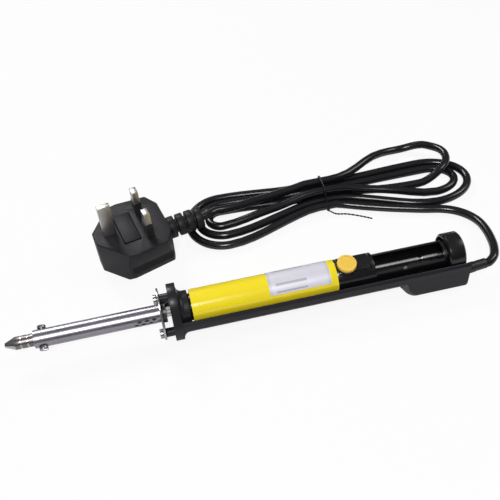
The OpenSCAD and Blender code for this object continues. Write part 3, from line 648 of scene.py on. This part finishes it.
@dataclass
class FreeCord:
    """The mains lead from the handle through its tied hank to the plug.

    Lengths are in millimetres and angles in degrees. The cord frame's zero is on the bench, under the
    pump's axis and level with the strain relief's end.

    Attributes:
        origin: the cord frame's zero in the row frame, in metres.
        diameter: the sheath's diameter.
        tie: where the tie's middle lies.
        pitch: from one slot of the waist to the next.
        rise: from one layer to the next.
        rest_z: the height of a strand that lies on the bench.
        waist: the length of the straight strands under the tie.
        waist_lift: how much higher the strands lie there.
        waist_slope: a leg comes down from that lift over its length divided by this.
        relief_tilt: how far the strain relief tilts toward the pump's axis.
        bar_turn: how far the handle's bar is turned from straight down.
        relief_depth: from the pump's axis to the strain relief's end.
        axis_z: the height of the pump's axis.
        plug_turn: the plug's turn on the bench.
        plug_yaw: the turn of the plug's sleeve.
        plug_rise: the slope of the plug's sleeve.
        plug_at: the plug's middle.
        plug_rear: from the plug's middle to its sleeve.
        plug_sleeve: the length of the plug's sleeve.
        lobes: the hank's loops, in order from the plug.
        plug_side: the points between the plug's sleeve and the tie.
        handle_side: the points between the tie and the handle.
        tie_wire: the tie's diameter.
        tie_gap: the air between the tie and the strands.
        tie_arcs: for each corner of the bundle its slot and layer, and the angles of the arc round it.
        tail: the points of the tie's twisted ends.
        tail_twist: the twist from one point to the next, in radians.
    """

    origin: Point = (0.141536, 0.000511, 0.0)
    diameter: float = 5.4
    tie: tuple[float, float] = (-74, 84)
    pitch: float = 5.9
    rise: float = 6.0
    rest_z: float = 2.8
    waist: float = 12
    waist_lift: float = 1.3
    waist_slope: float = 3
    relief_tilt: float = 5
    bar_turn: float = 52
    relief_depth: float = 10.575
    axis_z: float = 14.6
    plug_turn: float = 12
    plug_yaw: float = 9
    plug_rise: float = 3
    plug_at: Point = (-216.9, 64.4, 11.8)
    plug_rear: float = 35.6
    plug_sleeve: float = 24.4
    lobes: tuple[Lobe, ...] = (
        Lobe(side=1, slot_in=1.15, slot_out=0, reach=92, fold=26, far=33, near=-7.6,
             levels=(1, 1, 0, 0.7, 1, 1, 0.2, 0, 0)),
        Lobe(side=-1, slot_in=0, slot_out=-0.5, reach=79, fold=8, far=4.4, near=-10.2,
             levels=(0, 0, 0, 0, 0, 0, 0, 0.5, 1)),
        Lobe(side=1, slot_in=-0.5, slot_out=1, reach=91.5, fold=17, far=6.6, near=-17.6,
             levels=(1, 0.7, 0, 0, 0, 0, 0, 0, 0)),
        Lobe(side=-1, slot_in=1, slot_out=-1, reach=86, fold=17, far=11.5, near=-19.4, levels=ALL_LOW),
        Lobe(side=1, slot_in=-1, slot_out=2, reach=100, fold=28, far=14, near=-27.2, levels=ALL_LOW),
        Lobe(side=-1, slot_in=2, slot_out=-2, reach=92.6, fold=23, far=17.8, near=-28.8, levels=ALL_LOW),
    )
    plug_side: tuple[Point, ...] = (
        (-148, 79, 12.6), (-143, 80.5, 11), (-133, 83, 9.4), (-121, 85.4, 8.9), (-107, 87.6, 8.9),
        (-93, 89.6, 9.4), (-86, 90.6, 10),
    )
    handle_side: tuple[Point, ...] = (
        (-62, 70.6, 3.3), (-52, 66.6, 2.8), (-37, 60.4, 2.8), (-25, 56, 2.8), (-14, 52.2, 2.8),
        (-3, 49, 2.8), (5, 44.8, 2.8), (11, 38.2, 3.2), (14.2, 29.5, 4.2), (14.3, 19.5, 5.6),
        (12.8, 10, 7), (10.6, 2.2, 8.2), (7.2, -4.6, 8.7),
    )
    tie_wire: float = 1.2
    tie_gap: float = 0.1
    tie_arcs: tuple[tuple[float, float, float, float], ...] = (
        (-2, 0, -90, -180), (-0.5, 1, 180, 90), (1.15, 1, 90, 0), (2, 0, 0, -90),
    )
    tail: tuple[Point, ...] = (
        (-74, 68.8, 2.6), (-70, 65.4, 1.6), (-63, 63, 1.6), (-55, 58.5, 1.6), (-49, 54, 1.9),
    )
    tail_twist: float = 0.9
    leg_steps: int = 8
    fold_steps: int = 28
    curve_steps: int = 5
    arc_steps: int = 6
    tail_steps: int = 12

    def at(self, p: Sequence[float]) -> Vector:
        """A point of the cord's frame, in metres of the row frame."""
        return Vector(self.origin) + Vector(p) * MM

    def lobe_points(self, lobe: Lobe) -> list[Point]:
        """One loop: a leg out from the waist, a half-ellipse fold and a leg back.

        Args:
            lobe: the loop.

        Returns:
            Its points in the cord's frame.
        """
        tie_x, tie_y = self.tie
        y_in, y_out = tie_y + self.pitch * lobe.slot_in, tie_y + self.pitch * lobe.slot_out
        waist_x = tie_x + lobe.side * self.waist / 2
        fold_x = tie_x + lobe.side * (lobe.reach - lobe.fold)
        mid = tie_y + (lobe.far + lobe.near) / 2
        half = (lobe.far - lobe.near) / 2 * (1 if y_in > y_out else -1)
        back = LEG_STATIONS + FOLD_STATIONS

        def leg(waist_y: float, fold_y: float, t: float, station: float) -> Point:
            """The leg's point at share t of its length, counted from the waist."""
            lift = self.rest_z + self.waist_lift * (1 - smooth(self.waist_slope * t))
            return (waist_x + (fold_x - waist_x) * t, waist_y + (fold_y - waist_y) * smooth(t),
                    lift + self.rise * lobe.layer(station))

        n, m = self.leg_steps, self.fold_steps
        out = [leg(y_in, mid + half, i / n, LEG_STATIONS * i / n) for i in range(n)]
        for i in range(m + 1):
            a = math.pi * i / m
            layer = lobe.layer(LEG_STATIONS + FOLD_STATIONS * i / m)
            out.append((fold_x + lobe.side * lobe.fold * math.sin(a), mid + half * math.cos(a),
                        self.rest_z + self.rise * layer))
        out += [leg(y_out, mid - half, 1 - i / n, back + LEG_STATIONS * i / n) for i in range(1, n + 1)]
        return out

    def waist_point(self, x: float, slot: float, layer: float) -> Vector:
        """A point of the waist, at x from the tie's middle."""
        return self.at((self.tie[0] + x, self.tie[1] + self.pitch * slot,
                        self.rest_z + self.waist_lift + self.rise * layer))

    def relief_end(self) -> tuple[Vector, Vector]:
        """Finds where the cord leaves the handle.

        Returns:
            The point and the cord's direction there.
        """
        turn, tilt = math.radians(self.bar_turn), math.radians(self.relief_tilt)
        end = (0, -self.relief_depth * math.sin(turn), self.axis_z - self.relief_depth * math.cos(turn))
        out = Vector((math.cos(tilt), math.sin(tilt) * math.sin(turn), math.sin(tilt) * math.cos(turn)))
        return self.at(end), out

    def plug_end(self) -> tuple[Vector, Vector]:
        """Finds where the cord meets the plug's sleeve.

        Returns:
            The point and the sleeve's direction there.
        """
        turn, yaw, rise = (math.radians(a) for a in (self.plug_turn, self.plug_yaw, self.plug_rise))
        out = Vector((math.cos(yaw) * math.cos(rise), math.sin(yaw) * math.cos(rise), math.sin(rise)))
        back = Vector(self.plug_at) + self.plug_rear * Vector((math.cos(turn), math.sin(turn), 0))
        return self.at(back + out * self.plug_sleeve), out

    def route(self) -> list[Vector]:
        """Works out the whole cord.

        Returns:
            Its points in metres, from the handle to the plug.
        """
        relief, relief_out = self.relief_end()
        plug, plug_out = self.plug_end()
        first, last = self.lobes[0], self.lobes[-1]
        thick = self.diameter * MM
        start = self.waist_point(-self.waist / 2, first.slot_in, first.levels[0])
        end = self.waist_point(self.waist / 2, last.slot_out, last.levels[-1])
        before_start = start - Vector((thick / 2, 0, 0))
        lead = rounded([plug, plug + plug_out * thick, *map(self.at, self.plug_side), before_start, start],
                       self.curve_steps)
        hank = [self.at(p) for lobe in self.lobes for p in self.lobe_points(lobe)]
        tail = rounded([end, *map(self.at, self.handle_side), relief + relief_out * thick / 2, relief],
                       self.curve_steps)
        return [*lead, *hank, *tail][::-1]

    def tie_ring(self) -> list[Vector]:
        """Lays the tie's wire round the bundle.

        Returns:
            The ring's points in metres.
        """
        away = (self.diameter + self.tie_wire) / 2 + self.tie_gap
        out = []
        for slot, layer, start, end in self.tie_arcs:
            for k in range(self.arc_steps + 1):
                a = math.radians(start + (end - start) * k / self.arc_steps)
                corner = self.waist_point(0, slot, layer)
                out.append(corner + Vector((0, math.cos(a), math.sin(a))) * away * MM)
        return out

    def tie_tail(self) -> list[list[Vector]]:
        """Twists the tie's two ends round each other.

        Returns:
            The points of each end, in metres.
        """
        middle = rounded([self.at(p) for p in self.tail], self.tail_steps)
        radius = self.tie_wire * MM / 4
        strands = []
        for phase in (0, math.pi):
            turns = [i * self.tail_twist + phase for i in range(len(middle))]
            strands.append([p + Vector((0, math.cos(a), math.sin(a))) * radius
                            for p, a in zip(middle, turns)])
        return strands

    def build(self) -> None:
        route = self.route()
        cord = tube("free_cord", [route], self.diameter * MM)
        cord.data.materials.append(CordSheath("cord_sheath").build())
        length = sum((b - a).length for a, b in zip(route, route[1:]))
        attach(cord, BODY)
        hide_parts("cord_lead", "cord_hank", "cord_exit")
        tie = tube("wire_tie", [self.tie_ring()], self.tie_wire * MM, cyclic=True)
        ends = tube("wire_tie_ends", self.tie_tail(), self.tie_wire * MM / 2)
        wrap = Plastic("tie_plastic", (0.006, 0.006, 0.007), roughness=0.35, sheen=0.3).build()
        for piece in (tie, ends):
            piece.data.materials.append(wrap)
            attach(piece, BODY)
            LOG.info("%s: %s", piece.name, wrap.name)
        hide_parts("twist_tie")
        LOG.info("free cord of %.3f m", length)


@dataclass
class HotEnd:
    """Tip, heater tube, plate, screws and leads."""

    screws: tuple[str, ...] = ("clamp_screws", "plate_screws")
    screw_edge: float = 0.0002
    plate_edge: float = 0.00012

    def dress(self) -> None:
        """Gives the hot end its finishes."""
        paint(PaintedReflectionChrome("tip_chrome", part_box("tip")[0].x), "tip")
        paint(Metal("tube_chrome", (0.34, 0.325, 0.365), roughness=0.28, grain=Grain.ROUND), "heater_tube")
        paint(Metal("screw_plating", (0.40, 0.39, 0.41), roughness=0.26), *self.screws,
              bevel=self.screw_edge)
        paint(Metal("pipe_steel", (0.55, 0.55, 0.56), roughness=0.3, grain=Grain.ALONG), "suction_tube")
        paint(Metal("plate_steel", (0.5, 0.5, 0.52), roughness=0.26), "mounting_plate",
              bevel=self.plate_edge)
        paint(Plastic("bush_moulding", (0.045, 0.045, 0.05)), "end_bush")
        paint(Plastic("core_ceramic", (0.06, 0.052, 0.048), roughness=0.7), "heater_core")
        paint(Sleeving("lead_sleeving"), "heater_leads")


@dataclass
class Grip:
    """The black moulded handle and what is held in its rear box."""

    black: tuple[str, ...] = ("handle", "box_cover")
    edge: float = 0.0003

    def dress(self) -> None:
        """Gives the handle its finishes."""
        moulding = Plastic("handle_moulding", (0.0085, 0.0082, 0.012), roughness=0.38, coat=0.05, sheen=0.36)
        rubber = Plastic("relief_rubber", (0.0085, 0.0085, 0.0105), roughness=0.42, skin=0.00003)
        paint(moulding, *self.black, bevel=self.edge)
        paint(rubber, "strain_relief", bevel=self.edge)
        paint(Metal("cover_screw_steel", (0.5, 0.5, 0.51), roughness=0.3), "cover_screw")
        paint(Plastic("block_moulding", (0.62, 0.58, 0.5), roughness=0.45), "terminal_block")


@dataclass
class Pump:
    """The spring pump on the handle's back."""

    button_tilt: float = math.radians(10)
    rim_w: float = 0.0012
    black: tuple[str, ...] = ("pump_nose", "rear_body", "plunger_sleeve", "plunger_cap", "piston")
    wire: tuple[str, ...] = ("main_spring", "button_spring", "latch_plate", "sleeve_pin")
    edge: float = 0.0002

    def dress(self) -> None:
        """Gives the pump its finishes."""
        paint(Plastic("pump_moulding", (0.004, 0.004, 0.005), roughness=0.26, coat=0.15), *self.black,
              bevel=self.edge)
        paint(Plastic("barrel_moulding", (0.95, 0.76, 0.018), roughness=0.16, skin=0.000006, coat=0.35,
                      vary=0.05), "pump_barrel")
        low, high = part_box("release_button")
        rim_r = (high.x - low.x) / 2 - self.rim_w
        paint(ButtonPlastic("button_moulding", tuple((low + high) / 2), self.button_tilt, rim_r),
              "release_button")
        low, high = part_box("rating_label")
        paint(LabelFoil("label_foil", low.x, high.x, high.z), "rating_label")
        paint(Metal("rod_polish", (0.97, 0.93, 0.94), roughness=0.24, grain=Grain.ROUND), "plunger_rod")
        paint(Metal("spring_wire", (0.5, 0.5, 0.52), roughness=0.28), *self.wire)
        paint(Plastic("seal_silicone", (0.4, 0.08, 0.05), roughness=0.5), "nose_seal")
        paint(Plastic("ring_rubber", (0.02, 0.02, 0.02), roughness=0.55), "piston_ring")


@dataclass
class Plug:
    """The moulded plug on the cord's end."""

    black: tuple[str, ...] = ("plug_body", "fuse_carrier")
    pins: tuple[str, ...] = ("earth_pin", "line_pin", "neutral_pin")
    nodes: tuple[str, ...] = ("plug_body", "plug_relief", "earth_pin", "line_pin", "neutral_pin",
                              "pin_sleeves", "fuse_carrier", "fuse")
    edge: float = 0.0005
    rib_edge: float = 0.0006
    pin_edge: float = 0.0003

    def dress(self) -> None:
        """Gives the plug its finishes."""
        moulding = Plastic("plug_moulding", (0.0075, 0.0072, 0.0105), roughness=0.5, skin=0.00003,
                           sheen=0.28)
        ribs = Plastic("plug_ribs", (0.0065, 0.0063, 0.0085), roughness=0.48, skin=0.00002, sheen=0.3)
        nickel = Metal("pin_nickel", (0.55, 0.52, 0.50), roughness=0.32, mark=0.00001)
        paint(moulding, *self.black, bevel=self.edge)
        paint(ribs, "plug_relief", bevel=self.rib_edge)
        paint(Plastic("sleeve_moulding", (0.02, 0.02, 0.021)), "pin_sleeves")
        paint(nickel, *self.pins, bevel=self.pin_edge)
        paint(Plastic("fuse_ceramic", (0.7, 0.69, 0.65), roughness=0.4), "fuse")


@dataclass(frozen=True)
class Lamp:
    """A square lamp that points at the row frame's zero, in metres and watts."""

    name: str
    place: Point
    size: float
    power: float


@dataclass
class Studio:
    """White table, soft lamps and the camera.

    Attributes:
        eye: the camera's place.
        pitch: how far the camera looks down, in degrees.
        roll: how far it is rolled, in degrees.
        yaw: how far it looks to the right of straight across the iron, in degrees.
        focal_px: the focal length in pixels of the photograph.
        picture_px: the photograph's width in pixels.
        sensor: the sensor's width in millimetres.
        horizon: the world's strength at and below the height low_z.
        zenith: its strength at and above the height high_z.
        table_glow: how much of the table's white is its own, as the camera sees it.
    """

    eye: Point = (-0.0442, -0.2863, 0.3408)
    pitch: float = 45
    roll: float = 5.1
    yaw: float = 9
    focal_px: float = 750.5
    picture_px: float = 500
    sensor: float = 36
    clip_start: float = 0.01
    horizon: float = 0.03
    low_z: float = 0.1
    zenith: float = 0.22
    high_z: float = 0.75
    lamps: tuple[Lamp, ...] = (
        Lamp("key", (-0.2, -0.75, 1.05), size=0.3, power=10.0),
        Lamp("fill", (1.1, 0.1, 1.0), size=0.5, power=4.5),
        Lamp("back", (-0.3, 1.0, 0.9), size=0.4, power=7.0),
    )
    white: Colour = (1.0, 1.0, 1.0)
    table_size: float = 12
    table_z: float = -0.0002
    table_grey: Colour = (0.86, 0.86, 0.86)
    table_roughness: float = 0.6
    table_glow: float = 0.88

    def camera(self) -> None:
        """Places the camera at the photograph's viewpoint."""
        data = bpy.data.cameras.new("camera")
        data.sensor_width = self.sensor
        data.lens = self.focal_px / self.picture_px * self.sensor
        data.clip_start = self.clip_start
        turn = (Matrix.Rotation(-math.radians(self.yaw), 4, "Z")
                @ Matrix.Rotation(math.radians(90 - self.pitch), 4, "X")
                @ Matrix.Rotation(-math.radians(self.roll), 4, "Z"))
        eye = bpy.data.objects.new("camera", data)
        eye.matrix_world = Matrix.Translation(self.eye) @ turn
        bpy.context.scene.collection.objects.link(eye)
        bpy.context.scene.camera = eye

    def light(self) -> None:
        """Places the lamps."""
        for lamp in self.lamps:
            data = bpy.data.lights.new(lamp.name, "AREA")
            data.size = lamp.size
            data.energy = lamp.power
            made = bpy.data.objects.new(lamp.name, data)
            made.location = lamp.place
            made.rotation_euler = (-Vector(lamp.place)).to_track_quat("-Z", "Y").to_euler()
            bpy.context.scene.collection.objects.link(made)

    def surroundings(self) -> None:
        """Makes a world that is white to the camera and brightens upwards in reflections."""
        world = bpy.data.worlds.new("studio")
        bpy.context.scene.world = world
        world.use_nodes = True
        n = Nodes(world.node_tree)
        place = n.node("ShaderNodeTexCoord", output="Generated")
        up = n.node("ShaderNodeSeparateXYZ", {}, {0: place}, "Z")
        levels = {"Value": up, "From Min": self.low_z, "From Max": self.high_z,
                  "To Min": self.horizon, "To Max": self.zenith}
        height = n.node("ShaderNodeMapRange", {}, levels)
        seen = n.node("ShaderNodeLightPath", output="Is Camera Ray")
        strength = n.node("ShaderNodeMath", {"operation": "MAXIMUM"}, {0: seen, 1: height})
        background = n.tree.nodes["Background"]
        n.feed(background.inputs["Color"], self.white)
        n.feed(background.inputs["Strength"], strength)

    def table(self) -> None:
        """Lays the table, which is nearly white to the camera and still shows shadows."""
        bpy.ops.object.select_all(action="DESELECT")
        bpy.ops.mesh.primitive_plane_add(size=self.table_size, location=(0, 0, self.table_z))
        floor = bpy.context.object
        floor.name = "table"
        s = Shader("table_white")
        s.finish(self.table_grey, self.table_roughness)
        seen = s.node("ShaderNodeLightPath", output="Is Camera Ray") * self.table_glow
        glow = s.node("ShaderNodeEmission", {}, {"Color": self.white, "Strength": 1.0})
        both = s.node("ShaderNodeMixShader", {}, {0: seen, 1: Sock(s, s.bsdf.outputs[0]), 2: glow})
        s.feed(s.surface, both)
        floor.data.materials.append(s.material)

    def build(self) -> None:
        """Sets the whole studio up."""
        bpy.context.scene.view_settings.view_transform = "Standard"
        self.camera()
        self.light()
        self.surroundings()
        self.table()


def main() -> None:
    """Builds the studio, the finishes and the cord in order."""
    logging.basicConfig(level=logging.INFO, format="%(message)s")
    Studio().build()
    HotEnd().dress()
    Grip().dress()
    Pump().dress()
    Plug().dress()
    FreeCord().build()
    bpy.context.view_layer.update()


if __name__ == "__main__":
    main()
